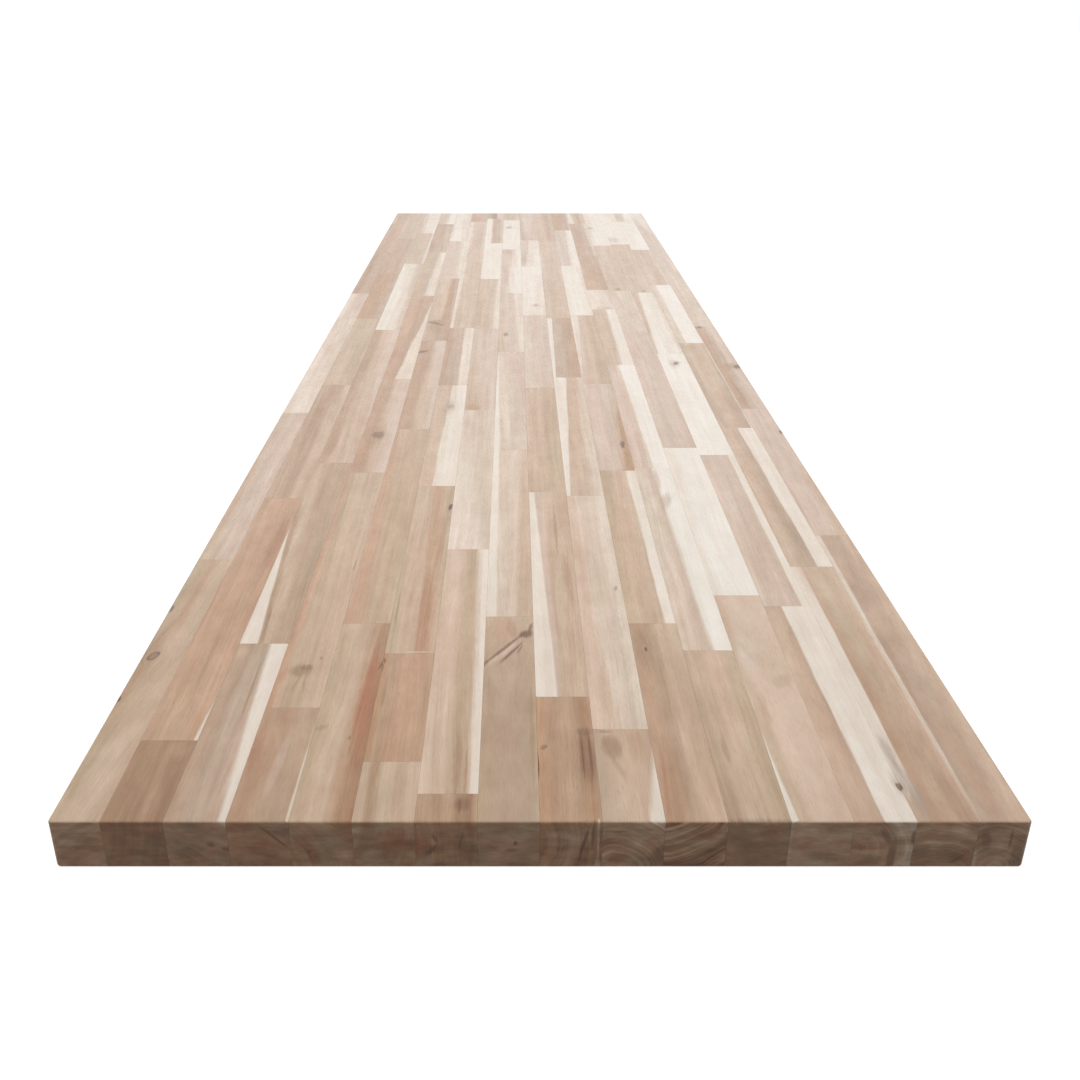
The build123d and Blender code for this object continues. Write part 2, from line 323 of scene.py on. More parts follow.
# Stains on the top: row, mm from the near end, mm in from the left side of the row, half
# width and half length in mm, turn in degrees from the grain, tone, and how strong. A stave
# has room for fifteen, those on its end among them. How deep the stains go is in mm too.
STAINS_A_STAVE = 15
TOP_STAIN_DEPTH = 22.0
END_STAIN_DEPTH = 5.0
STAINS = [
    ("row_01", 60, 24, 10, 70, 0, "peach", 0.5),
    ("row_01", 160, 3, 5, 45, 0, "orange", 0.5),
    ("row_01", 205, 6, 9, 50, 0, "brown", 0.55),
    ("row_01", 300, 16, 4.1, 92, 0, "rosy", 0.5),
    ("row_01", 1840, 9, 6.1, 92, 0, "umber", 0.5),
    ("row_02", 20, 27, 6, 25, 0, "brown", 0.5),
    ("row_02", 42, 11.5, 2.2, 48, 0, "dark", 0.7),
    ("row_02", 60, 22, 4, 30, 0, "umber", 0.5),
    ("row_02", 80, 30, 10, 12, 90, "brown", 0.4),
    ("row_02", 105, 35, 4, 30, 0, "orange", 0.5),
    ("row_02", 170, 12, 4, 70, -1, "orange", 0.4),
    ("row_02", 250, 22, 4, 90, 0, "umber", 0.35),
    ("row_02", 420, 34, 6, 60, 0, "russet", 0.3),
    ("row_02", 430, 34, 7, 60, 0, "russet", 0.3),
    ("row_02", 760, 12, 9, 150, 0, "umber", 0.5),
    ("row_03", 30, 12, 6, 40, 0, "mauve", 0.4),
    ("row_03", 60, 34, 3, 40, -4, "pale", 0.4),
    ("row_03", 158, 24.3, 1.3, 42, 1, "smoke", 0.45),
    ("row_03", 215, 6, 6, 14, 0, "tan", 0.6),
    ("row_03", 258, 16, 1.8, 40, 4, "smoke", 0.4),
    ("row_03", 560, 22, 7.1, 61, 0, "brown", 0.35),
    ("row_03", 720, 8, 7.1, 71, 0, "umber", 0.5),
    ("row_04", 40, 9, 7, 40, 0, "umber", 0.4),
    ("row_04", 60, 34.5, 3, 45, 2, "brown", 0.5),
    ("row_04", 60, 22, 4, 45, -3, "ash", 0.6),
    ("row_04", 85, 4, 4, 45, 0, "russet", 0.45),
    ("row_04", 118, 14, 7, 16, 0, "umber", 0.35),
    ("row_04", 160, 17, 11, 32, 0, "brown", 0.3),
    ("row_04", 165, 23, 1, 14, 6, "smoke", 0.3),
    ("row_04", 168, 17, 1.1, 13, -8, "smoke", 0.3),
    ("row_04", 178, 5, 4, 16, 0, "russet", 0.35),
    ("row_04", 185, 17, 11, 11, -30, "smoke", 0.5),
    ("row_04", 189, 21, 5, 6, -30, "smoke", 0.5),
    ("row_04", 372, 36, 1, 14, -2, "ink", 0.35),
    ("row_04", 745, 18, 13.2, 56, 0, "brown", 0.4),
    ("row_04", 1980, 8, 12.2, 51, 0, "dark", 0.35),
    ("row_05", 40, 26, 4, 40, 0, "rosy", 0.5),
    ("row_05", 86, 33, 5, 26, 2, "dark", 0.8),
    ("row_05", 106, 5, 4, 7, -50, "smoke", 0.3),
    ("row_05", 140, 34, 8, 88, 0, "russet", 1),
    ("row_05", 194, 39.6, 1.3, 9, -12, "ink", 0.6),
    ("row_05", 250, 10, 9, 18, 0, "peach", 0.4),
    ("row_05", 1125, 8, 10.2, 41, 0, "brown", 0.5),
    ("row_05", 1262, 16, 14.2, 61, 0, "umber", 0.35),
    ("row_06", 55, 9, 4, 20, 0, "umber", 0.45),
    ("row_06", 80, 24, 8, 14, 0, "rosy", 0.6),
    ("row_06", 150, 5.5, 1.6, 30, 0, "smoke", 0.35),
    ("row_06", 150, 38, 2, 60, 0, "umber", 0.5),
    ("row_06", 190, 0.6, 1, 8, 0, "ink", 0.4),
    ("row_06", 200, 1.3, 1.6, 5, 10, "ink", 0.65),
    ("row_06", 213.5, 26, 12, 1.6, 0, "pale", 0.7),
    ("row_06", 290, 27, 5, 90, 0, "russet", 0.35),
    ("row_06", 290, 3.5, 1.2, 30, 0, "smoke", 0.35),
    ("row_06", 300, 28, 5, 95, 0, "russet", 0.28),
    ("row_06", 420, 33, 5, 70, 0, "umber", 0.4),
    ("row_06", 850, 20, 8, 28, 0, "grey", 0.35),
    ("row_06", 2345, 13, 10.2, 36, 0, "russet", 0.4),
    ("row_07", 4, 33, 6, 8, 0, "dark", 0.5),
    ("row_07", 17, 28.5, 1, 10, 0, "ink", 0.5),
    ("row_07", 18, 30, 7, 9, 0, "ink", 0.32),
    ("row_07", 50, 31, 1.4, 40, 0, "dark", 0.5),
    ("row_07", 62, 25, 3.5, 45, 0, "umber", 0.55),
    ("row_07", 200, 12, 8, 90, 0, "rosy", 0.2),
    ("row_07", 842, 12, 15.2, 13, 90, "orange", 0.7),
    ("row_07", 2300, 26, 7.1, 61, 0, "umber", 0.4),
    ("row_08", 105, 37, 2, 70, 0, "umber", 0.5),
    ("row_08", 150, 4, 6, 80, 0, "mauve", 0.5),
    ("row_08", 195, 1, 2, 6, -25, "ink", 0.6),
    ("row_08", 212, 14, 5, 25, -31, "peach", 0.9),
    ("row_08", 213, 22, 2, 24, -29, "ink", 0.65),
    ("row_08", 218, 28.8, 1.3, 9, -20, "ink", 0.45),
    ("row_08", 221, 17, 2.3, 35, -33, "ink", 0.7),
    ("row_08", 243, 34, 6.5, 9, -40, "ink", 0.75),
    ("row_08", 250, 13, 10, 26, 0, "rosy", 0.6),
    ("row_08", 252, 22, 5, 22, 8, "umber", 0.6),
    ("row_08", 254, 38, 2, 11, -10, "ink", 0.6),
    ("row_08", 1905, 12, 13.2, 41, 0, "brown", 0.5),
    ("row_09", 45, 3.5, 3, 50, 0, "orange", 0.8),
    ("row_09", 70, 31.5, 1.2, 36, 0, "ink", 0.6),
    ("row_09", 60, -0.2, 1.3, 20, 0, "ink", 1),
    ("row_09", 78, 37, 1.4, 32, 0, "ink", 0.6),
    ("row_09", 101, 34, 6, 6, 0, "ink", 0.35),
    ("row_09", 70, 23, 5, 34, 0, "umber", 0.5),
    ("row_09", 68, 35, 7, 40, 0, "ink", 0.4),
    ("row_09", 98, 14, 14, 3, 0, "brown", 0.5),
    ("row_09", 124, 17, 12, 26, 0, "rosy", 0.7),
    ("row_09", 220, 32, 5, 80, 0, "russet", 0.15),
    ("row_09", 340, 33, 5.5, 70, 2, "umber", 0.5),
    ("row_09", 460, 25.5, 1.6, 70, 0, "smoke", 0.4),
    ("row_09", 1830, 6, 7.4, 58, 0, "mauve", 0.7),
    ("row_10", 12, 8, 10, 16, 0, "peach", 0.3),
    ("row_10", 50, 28, 5, 40, 6, "tan", 0.5),
    ("row_10", 58, 15, 3, 20, 16, "smoke", 0.25),
    ("row_10", 84, 30, 7, 24, 0, "brown", 0.5),
    ("row_10", 83, 12, 8, 17, 8, "smoke", 0.5),
    ("row_10", 101, 9, 6, 2.5, 0, "ink", 0.35),
    ("row_10", 150, 14, 4, 60, 0, "rosy", 0.5),
    ("row_10", 250, 28, 7, 90, 0, "ash", 0.5),
    ("row_10", 1230, 32, 6.1, 92, 0, "umber", 0.4),
    ("row_11", 40, 5, 3, 55, -3, "russet", 0.45),
    ("row_11", 30, 12, 9, 60, -3, "umber", 0.5),
    ("row_11", 70, 25, 3, 60, 2, "peach", 0.5),
    ("row_11", 150, 18, 3.5, 45, -2, "umber", 0.4),
    ("row_11", 222, 8, 8, 34, 0, "smoke", 0.25),
    ("row_11", 655, 35, 3, 34, -2, "umber", 0.5),
    ("row_11", 775, 36, 2.4, 60, 0, "smoke", 0.35),
    ("row_12", 60, 20, 6, 60, 0, "tan", 0.5),
    ("row_12", 76, 11, 2.4, 20, 0, "smoke", 0.35),
    ("row_12", 140, 36, 5, 60, 0, "olive", 0.5),
    ("row_12", 205, 22, 12, 16, 0, "peach", 0.4),
    ("row_12", 528, 24, 7, 26, -10, "mauve", 0.55),
    ("row_12", 580, 17, 9.5, 50, -8, "ash", 0.8),
    ("row_12", 1395, 20, 21.8, 13, 0, "ash", 0.6),
    ("row_12", 1690, 20, 12.2, 56, 0, "orange", 0.55),
    ("row_13", 60, 30, 12, 80, 0, "peach", 0.5),
    ("row_13", 125, 8, 4, 32, -3, "brown", 0.4),
    ("row_13", 170, 31, 8, 13, -30, "olive", 0.6),
    ("row_13", 205, 9, 9, 40, 0, "pale", 0.6),
    ("row_13", 260, 14, 9, 60, 0, "light", 0.5),
    ("row_13", 1907, 34, 7.4, 27, 0, "mauve", 0.6),
    ("row_14", 40, 39.5, 4, 20, 0, "grey", 0.35),
    ("row_14", 60, 17, 2.2, 70, 0, "mauve", 0.6),
    ("row_14", 120, 4, 4, 90, 0, "rosy", 0.3),
    ("row_14", 1048, 19, 10, 26, 0, "ash", 0.5),
    ("row_14", 1240, 2, 4.1, 61, 0, "rosy", 0.5),
    ("row_14", 2056, 9, 15.8, 42, 0, "mauve", 0.55),
    ("row_15", 10, 4, 9, 30, 0, "fawn", 0.9),
    ("row_15", 36, 6.5, 6, 36, 5, "grey", 0.75),
    ("row_15", 74, 4, 4, 26, 3, "grey", 0.6),
    ("row_15", 52, 13, 4, 50, 6, "brown", 0.4),
    ("row_15", 170, 40, 1.6, 200, 0, "pale", 0.6),
    ("row_15", 200, 15, 3, 120, 0, "brown", 0.4),
    ("row_15", 440, 23, 3, 65, -2, "smoke", 0.3),
    ("row_15", 1140, 15, 12.2, 18, 0, "orange", 0.45),
    ("row_15", 2360, 3, 10.5, 42, 0, "mauve", 0.6),
    ("row_16", 60, 12, 6, 80, 0, "rosy", 0.4),
    ("row_16", 150, 28, 5, 90, 0, "tan", 0.4),
    ("row_16", 200, 5, 3.5, 90, -1, "smoke", 0.2),
    ("row_16", 900, 8, 5.1, 61, 0, "umber", 0.4),
    ("row_16", 1036, 18, 16, 18, 0, "umber", 0.5),
]

# Stains on the near end: row, mm in from the left side of the row, mm up from the underside,
# half width and half height in mm, turn in degrees, tone, and how strong
END_STAINS = [
    ("row_01", 20, 17, 20, 2.5, 0, "smoke", 0.59),
    ("row_01", 8, 7, 9, 6, 0, "tan", 0.65),
    ("row_01", 24, 34, 14, 3, 0, "olive", 0.52),
    ("row_02", 10, 22, 8, 7, 0, "ink", 0.54),
    ("row_02", 23, 24, 5, 7, 0, "russet", 0.78),
    ("row_02", 35, 26, 7, 6, 0, "ink", 0.54),
    ("row_02", 24, 31, 15, 1.5, 0, "russet", 0.65),
    ("row_02", 20, 6, 12, 5, 0, "fawn", 0.5),
    ("row_03", 17, 34, 9, 4.5, 0, "grey", 0.91),
    ("row_03", 15, 13, 10, 5, -5, "ink", 0.54),
    ("row_03", 29, 20, 3, 3, 0, "ink", 0.7),
    ("row_03", 38.5, 16, 3, 2.5, 0, "ink", 0.78),
    ("row_03", 3, 8, 5, 4, 0, "tan", 0.78),
    ("row_03", 36, 7, 8, 6, 0, "ash", 0.78),
    ("row_04", 25, 25, 6, 7, 0, "russet", 0.52),
    ("row_04", 31, 25, 1.4, 15, 44, "ink", 0.93),
    ("row_04", 35, 31, 6, 5, 0, "grey", 0.91),
    ("row_04", 7, 10, 9, 5, 0, "ash", 0.78),
    ("row_04", 26, 12, 9, 4, 0, "ink", 0.46),
    ("row_04", 6, 4, 2, 2, 0, "ink", 0.62),
    ("row_05", 8, 23, 9, 8, 30, "russet", 0.65),
    ("row_05", 14, 13, 5, 9, 20, "russet", 1),
    ("row_05", 12, 14, 1.5, 2, 0, "ink", 0.78),
    ("row_05", 34, 35, 9, 2, 0, "russet", 0.78),
    ("row_05", 30, 20, 9, 8, 0, "ash", 0.45),
    ("row_06", 28, 20, 19, 13, 0, "russet", 1),
    ("row_06", 22, 24, 9, 6, 0, "orange", 0.5),
    ("row_06", 8, 7, 10, 5, 0, "ash", 0.78),
    ("row_06", 34, 6, 7, 6, 0, "russet", 0.65),
    ("row_07", 3, 21, 11, 12, 0, "russet", 1),
    ("row_07", 12.5, 25, 1.8, 5, 25, "ink", 0.93),
    ("row_07", 10.5, 15, 2.2, 6, -35, "ink", 0.93),
    ("row_07", 6, 5, 9, 5, 0, "ash", 0.91),
    ("row_07", 30, 24, 1, 9, -16, "ink", 0.85),
    ("row_07", 36, 11, 5, 6, 0, "ink", 0.46),
    ("row_08", 19, 26, 17, 8, 6, "light", 0.78),
    ("row_08", 24.6, 21, 1.6, 2.4, 0, "ink", 0.93),
    ("row_08", 22, 15, 4, 2, 0, "ink", 0.46),
    ("row_08", 28, 7, 14, 5, 0, "brown", 0.5),
    ("row_09", 14, 22, 14, 13, 0, "ash", 0.65),
    ("row_09", 29, 22, 1.3, 15, -14, "ink", 1),
    ("row_09", 34.6, 27, 1.6, 14, -3, "ink", 1),
    ("row_09", 26, 5, 12, 4.5, 0, "ink", 0.54),
    ("row_09", 38, 24, 0.9, 26, 0, "cream", 1),
    ("row_09", 37.8, 3, 2.4, 10, 0, "cream", 1),
    ("row_10", 38, 10, 8, 10, -20, "ink", 0.78),
    ("row_10", 11, 10, 8, 6, 0, "russet", 0.65),
    ("row_10", 10, 30, 7, 1.2, 3, "ink", 0.62),
    ("row_10", 14, 23, 14, 2.5, 0, "olive", 0.65),
    ("row_11", 10, 32, 12, 6, 10, "ash", 0.52),
    ("row_11", 20, 2, 22, 3, 6, "ink", 0.78),
    ("row_12", 20, 18, 34, 40, 0, "ink", 0.34),
    ("row_12", 30, 19, 14, 7, 0, "ink", 0.46),
    ("row_13", 0.6, 17, 1.5, 40, 0, "pale", 1),
    ("row_13", 22, 10, 18, 3, 4, "ink", 0.31),
    ("row_13", 28, 28, 12, 6, 0, "ash", 0.39),
    ("row_14", 10, 17, 12, 2.6, 0, "russet", 0.65),
    ("row_14", 22, 26, 3, 10, 30, "ink", 0.78),
    ("row_14", 27, 9, 3.5, 16, 0, "ink", 0.78),
    ("row_14", 12, 6, 12, 6, 0, "ink", 0.46),
    ("row_14", 8, 30, 9, 6, 0, "ash", 0.52),
    ("row_14", 33, 14, 4, 18, 0, "rosy", 0.6),
    ("row_14", 40, 26, 2.2, 7, 0, "ink", 0.78),
    ("row_15", 8, 31, 12, 6, 0, "mauve", 0.4),
    ("row_15", 5, 16, 8, 8, 0, "ink", 0.7),
    ("row_15", 12, 6, 8, 6, 0, "tan", 0.65),
    ("row_15", 30, 8, 1.6, 7, -55, "ink", 0.78),
    ("row_15", 28, 32, 9, 4, 0, "light", 0.52),
    ("row_16", 0, 6, 2.6, 11, 0, "cream", 1),
    ("row_16", 8, 35, 10, 3, 0, "grey", 0.78),
    ("row_16", 6, 24, 4, 9, 12, "ink", 0.62),
    ("row_16", 22, 24, 1.4, 9, 0, "ink", 0.78),
    ("row_16", 28, 12, 5, 12, 0, "ink", 0.7),
    ("row_16", 15, 12, 3, 14, 0, "tan", 0.52),
]

# Meetings of tones, knots and stains that a stave has room for but hasn't got lie this far off,
# mm, and such a knot has next to no size
FAR_OFF = 1000.0
NO_SIZE = 0.01

# Where the log's middle lay for the staves that show at the near end: mm in from the left side
# of the row, mm up from the underside, and how strongly its rings show on the sawn end
LOG_MIDDLES = {
    "row_01": (60, -40, 0.6),
    "row_02": (-50, 30, 0.7),
    "row_03": (70, 80, 0.5),
    "row_04": (10, -45, 0.7),
    "row_05": (-30, -10, 0.7),
    "row_06": (-50, 40, 0.4),
    "row_07": (-35, 25, 0.9),
    "row_08": (24, -40, 0.5),
    "row_09": (-28, 22, 1.8),
    "row_10": (12, -4, 2.2),
    "row_11": (-2, 62, 5),
    "row_12": (60, 60, 0.3),
    "row_13": (20, -90, 0.4),
    "row_14": (0, 14, 1),
    "row_15": (16, -14, 2),
    "row_16": (15, 2, 2),
}

# All other staves come from logs drawn at random, from this seed on: how far the stave's middle
# lies to one side of the log's middle and above it, mm, half a stave's width, how much the log
# leans across and up, mm in each mm along, its length, mm, and how strongly its rings show
SEED = 100
STAVE_ASIDE = (35, 120)
STAVE_ABOVE = (-60, 20)
HALF_STAVE = 20
LOG_LEAN_ACROSS = 0.014
LOG_LEAN_UP = 0.035
LOG_LENGTH = 5000
OTHER_RINGS = 0.8

near_corner, far_corner = cad_box
near_end = near_corner.y / MM
far_end = far_corner.y / MM
left_side = near_corner.x / MM
right_side = far_corner.x / MM
thickness = far_corner.z / MM


def tone(name):
    """A tone's colour as light, ((c + 0.055) / 1.055) ^ 2.4 for each c between 0 and 1, and its
    streak strength as the fourth number."""
    colour, streaks = TONES[name]
    light = (np.array(colour) / 255 + 0.055) / 1.055
    return np.append(light ** 2.4, streaks)


def finger_corners():
    """Heights and reaches of a finger joint's corners, mm: straight shoulders below and above,
    and between them a zigzag that reaches forward and back by turns."""
    pitch = (thickness - 2 * FINGER_SHOULDER) / FINGER_COUNT
    first = FINGER_SHOULDER + pitch / 4
    points = first + pitch / 2 * np.arange(2 * FINGER_COUNT)
    reaches = np.tile([FINGER_REACH, -FINGER_REACH], FINGER_COUNT)
    heights = np.concatenate([[FINGER_SHOULDER], points, [thickness - FINGER_SHOULDER]])
    return heights, np.concatenate([[0], reaches, [0]])


def sanded_levels():
    """Heights up the countertop's side, mm: equal steps of angle round both sanded edges,
    and the corners of the fingers between."""
    turn = np.radians(np.linspace(0, 90, ARC_POINTS))
    below = BOTTOM_EDGE_RADIUS * (1 - np.cos(turn))
    above = thickness - TOP_EDGE_RADIUS * (1 - np.sin(turn))
    return np.unique(np.concatenate([below, finger_corners()[0], above]))


def side_inset(height):
    """How far the sanded edges draw the side in at a height, mm: r - sqrt(r^2 - (r - d)^2)
    within a radius r of a face, where d is the distance to that face."""
    below = np.clip(BOTTOM_EDGE_RADIUS - height, 0, None)
    above = np.clip(TOP_EDGE_RADIUS - (thickness - height), 0, None)
    drawn_below = BOTTOM_EDGE_RADIUS - np.sqrt(BOTTOM_EDGE_RADIUS ** 2 - below ** 2)
    drawn_above = TOP_EDGE_RADIUS - np.sqrt(TOP_EDGE_RADIUS ** 2 - above ** 2)
    return np.where(below > 0, drawn_below, drawn_above)


def row_section(low, high, outer_left, outer_right):
    """Places across a row's section and how far its sawn ends are drawn in, mm, on a grid of
    places across by heights. Inside the top both run straight. An outer side follows the
    corner's arc: c is the cosine of the angle round it and R its radius at that height, so a
    point lies R c out from the arc's centre and R sqrt(1 - c^2) towards the end."""
    heights = sanded_levels()
    radius = CORNER_RADIUS - side_inset(heights)
    places = np.array([low, high])
    cosines = np.zeros(2)
    arc = np.cos(np.radians(np.linspace(0, 90, ARC_POINTS)))
    outwards = 1
    if outer_left:
        places = np.append(np.full(ARC_POINTS, low + CORNER_RADIUS), high)
        cosines = np.append(arc, 0)
        outwards = -1
    elif outer_right:
        places = np.append(low, np.full(ARC_POINTS, high - CORNER_RADIUS))
        cosines = np.append(0, arc[::-1])
    across = places[:, None] + outwards * cosines[:, None] * radius
    drawn_in = CORNER_RADIUS - radius * np.sqrt(1 - cosines[:, None] ** 2)
    return across, heights, drawn_in


def stave_joints(node):
    """Where the staves of a row start and end along the top, mm, as pairs. The near and far
    sides of each glue line are read from the corners of the node's top face."""
    corners = np.empty(len(node.data.vertices) * 3)
    node.data.vertices.foreach_get("co", corners)
    corners = corners.reshape(-1, 3) / MM
    on_top = corners[:, 2] > thickness - 0.01
    inside = (corners[:, 1] > near_end + CLEAR_OF_ENDS) & (corners[:, 1] < far_end - CLEAR_OF_ENDS)
    places = np.unique(corners[on_top & inside, 1].round(2))
    return np.concatenate([[near_end], places, [far_end]]).reshape(-1, 2)


def sheet(points, flip):
    """Corner points of the quads of a grid of points, turned round where flip is set."""
    quads = np.stack([points[:-1, :-1], points[1:, :-1], points[1:, 1:], points[:-1, 1:]], axis=2)
    quads = quads.reshape(-1, 4, points.shape[-1])
    return quads[:, ::-1] if flip else quads


def stave_quads(section, start, end, chart):
    """The six sides of one stave as quads of points (x, y, z, u, v). Each side is a grid: the
    ends over the section, and the long sides between the same edges of both ends. u and v
    are the side's place on the chart that holds the row's baked colours."""
    across, heights, drawn_in = section
    up = np.broadcast_to(heights, across.shape)
    fingers = np.interp(heights, *finger_corners())
    near = near_end + drawn_in if start == near_end else start + fingers + 0 * across
    far = far_end - drawn_in if end == far_end else end + fingers + 0 * across
    ends = np.stack([np.stack([across, near, up], -1), np.stack([across, far, up], -1)])
    share_x = (across - across.min()) / np.ptp(across)
    share_z = up / thickness
    share_y = np.broadcast_to(np.array([0.0, 1.0])[:, None, None], (2,) + across.shape)
    long_x = np.stack([share_x, share_x])
    long_z = np.stack([share_z, share_z])

    def placed(points, one, other, patch):
        low_u, low_v, wide, high = patch
        marks = np.stack([low_u + wide * one, low_v + high * other], -1)
        return np.concatenate([points, marks], -1)

    sides = [
        sheet(placed(ends[0], share_x, share_z, chart["near"]), False),
        sheet(placed(ends[1], share_x, share_z, chart["far"]), True),
        sheet(placed(ends[:, 0], long_z[:, 0], share_y[:, 0], chart["left"]), False),
        sheet(placed(ends[:, -1], long_z[:, -1], share_y[:, -1], chart["right"]), True),
        sheet(placed(ends[:, :, 0], long_x[:, :, 0], share_y[:, :, 0], chart["below"]), True),
        sheet(placed(ends[:, :, -1], long_x[:, :, -1], share_y[:, :, -1], chart["above"]), False),
    ]
    return np.concatenate(sides)


def row_charts(joints, outer_left, outer_right):
    """Where each stave's sides lie on its row's chart, as shares of the chart: left, low, wide
    and high. The staves stand end to end in three columns, with the top side widest, and
    glued sides, which nobody sees, are thin strips. The ends lie in a band above."""
    full = 1024
    columns = 3
    band = 140
    gap = 3
    margin = 5
    seen_side = 95
    glued_side = 3
    top_share = 0.58
    sawn_end = (130, 125)
    glued_end = (4, 40)
    glued_from = 300
    glued_pitch = 16
    left = seen_side if outer_left else glued_side
    right = seen_side if outer_right else glued_side
    spare = full // columns - left - right - 4 * gap
    above = round(spare * top_share)
    below = spare - above
    lengths = joints[:, 1] - joints[:, 0]
    thirds = (joints.mean(axis=1) - near_end) * columns / (far_end - near_end)
    group = np.clip(thirds.astype(int), 0, columns - 1)
    room = full - band - gap * (np.bincount(group, minlength=columns).max() + 1)
    scale = room / np.bincount(group, lengths, minlength=columns).max()
    charts = []
    for number, (length, column) in enumerate(zip(lengths, group)):
        before = (group == column) & (np.arange(len(lengths)) < number)
        low = gap + scale * lengths[before].sum() + gap * before.sum()
        edge = column * (full // columns) + gap / 2
        chart = {}
        for side, wide in (("above", above), ("right", right), ("below", below), ("left", left)):
            chart[side] = (edge, low, wide, scale * length)
            edge += wide + gap
        glued = glued_from + glued_pitch * number
        chart["near"] = (glued, full - band + 2 * margin, *glued_end)
        chart["far"] = (glued + glued_pitch / 2, full - band + 2 * margin, *glued_end)
        charts.append(chart)
    charts[0]["near"] = (margin, full - band + margin, *sawn_end)
    charts[-1]["far"] = (sawn_end[0] + 3 * margin, full - band + margin, *sawn_end)
    return [{side: np.array(patch) / full for side, patch in chart.items()} for chart in charts]


def place_in_log(row, edge, start, end, points, chance):
    """Each point's place in the log that its stave was sawn from, mm, the log's middle in the
    countertop's own places, and how strongly its rings show. The log runs a little askew: its
    middle moves by its lean times the distance along the stave. Where each log was sawn
    lengthwise is drawn at random, so no two staves share their grain."""
    side = chance.choice([-1, 1])
    away = side * chance.uniform(*STAVE_ASIDE) - HALF_STAVE
    above = chance.uniform(*STAVE_ABOVE) - thickness / 2
    lean_across = chance.uniform(-LOG_LEAN_ACROSS, LOG_LEAN_ACROSS)
    lean_up = chance.uniform(-LOG_LEAN_UP, LOG_LEAN_UP)
    along = points[:, 1] - (start + end) / 2
    rings = OTHER_RINGS
    if start == near_end:
        inset, height, rings = LOG_MIDDLES[row]
        away = -inset
        above = -height
        along = points[:, 1] - start
    grain = points.copy()
    grain[:, 0] += away - edge + lean_across * along
    grain[:, 1] += chance.uniform(0, LOG_LENGTH)
    grain[:, 2] += above + lean_up * along
    return grain, (edge - away, -above), rings


def tone_marks(looks, edge, start, end, points, middle):
    """Tones of one stave, and at each point how far right of each meeting of two tones it
    lies, mm. On the top face the meeting runs straight from its place at the near end to
    that at the far end. Below, it follows the growth ring it starts on, a circle about the
    log's middle: m + sqrt(r^2 - h^2), where h is the height above that middle."""
    names = list(looks[::2])
    meetings = list(looks[1::2])
    while len(names) < TONES_A_STAVE:
        names.append(names[-1])
        meetings.append((FAR_OFF, FAR_OFF, 1))
    share = (points[:, 1] - start) / (end - start)
    cuts = []
    for near, far, _ in meetings:
        out = edge + near + (far - near) * share - middle[0]
        square = out ** 2 + (thickness - middle[1]) ** 2 - (points[:, 2] - middle[1]) ** 2
        cuts.append(points[:, 0] - middle[0] - np.sign(out) * np.sqrt(np.clip(square, 0, None)))
    softness = [meeting[2] for meeting in meetings]
    marks = {"cuts": np.stack(cuts, -1), "softness": np.tile(softness, (len(points), 1))}
    for number, name in enumerate(names, 1):
        marks[f"tone_{number}"] = np.tile(tone(name), (len(points), 1))
    return marks


def on_stave(table, row, start, end):
    """The entries of a table of knots or stains that lie on one stave, without the row's name."""
    near = start - near_end
    far = end - near_end
    return [entry[1:] for entry in table if entry[0] == row and near <= entry[1] < far]


def turned(aside, ahead, turn):
    """Distances from a middle, mm, across and along axes turned from the grain by some degrees:
    a cos t + b sin t and b cos t - a sin t."""
    cosine = math.cos(math.radians(turn))
    sine = math.sin(math.radians(turn))
    return aside * cosine + ahead * sine, ahead * cosine - aside * sine


def knot_marks(row, edge, start, end, points):
    """Knots of one stave: at each point its place across and along each knot and the knot's
    half width there, mm. With depth d the half width w narrows to w (1 - taper d / thickness)."""
    count = len(points)
    narrowing = 1 - KNOT_TAPER * (1 - points[:, 2] / thickness)
    hearts = np.zeros(KNOTS_A_STAVE)
    rims = np.zeros(KNOTS_A_STAVE)
    marks = {}
    for number in range(KNOTS_A_STAVE):
        marks[f"knot_{number + 1}"] = np.tile([FAR_OFF, FAR_OFF, NO_SIZE], (count, 1))
    for number, knot in enumerate(on_stave(KNOTS, row, start, end)):
        distance, inset, size, longer, turn, hearts[number], rims[number] = knot
        aside = points[:, 0] - (edge + inset)
        ahead = points[:, 1] - (near_end + distance)
        across, along = turned(aside, ahead, turn)
        marks[f"knot_{number + 1}"] = np.stack([across, along / longer, size * narrowing], -1)
    marks["hearts"] = np.tile(hearts, (count, 1))
    marks["rims"] = np.tile(rims, (count, 1))
    return marks


def stain_marks(row, edge, start, end, points):
    """Stains of one stave, those of the near end first: at each point its place in half widths,
    half lengths and depths of each stain, and the stain's tone and strength."""
    stains = []
    if start == near_end:
        depth = (points[:, 1] - near_end) / END_STAIN_DEPTH
        on_end = [entry[1:] for entry in END_STAINS if entry[0] == row]
        for inset, height, wide, high, turn, colour, strength in on_end:
            across, up = turned(points[:, 0] - (edge + inset), points[:, 2] - height, turn)
            stains.append((across / wide, up / high, depth, colour, strength))
    depth = (points[:, 2] - thickness) / TOP_STAIN_DEPTH
    for distance, inset, wide, long, turn, colour, strength in on_stave(STAINS, row, start, end):
        aside = points[:, 0] - (edge + inset)
        ahead = points[:, 1] - (near_end + distance)
        across, along = turned(aside, ahead, turn)
        stains.append((across / wide, along / long, depth, colour, strength))
    count = len(points)
    marks = {}
    for number in range(STAINS_A_STAVE):
        marks[f"stain_{number + 1}"] = np.full((count, 3), FAR_OFF)
        marks[f"stain_{number + 1}_tone"] = np.zeros((count, 4))
    for number, (across, along, depth, colour, strength) in enumerate(stains, 1):
        marks[f"stain_{number}"] = np.stack([across, along, depth], -1)
        marks[f"stain_{number}_tone"] = np.tile(np.append(tone(colour)[:3], strength), (count, 1))
    return marks


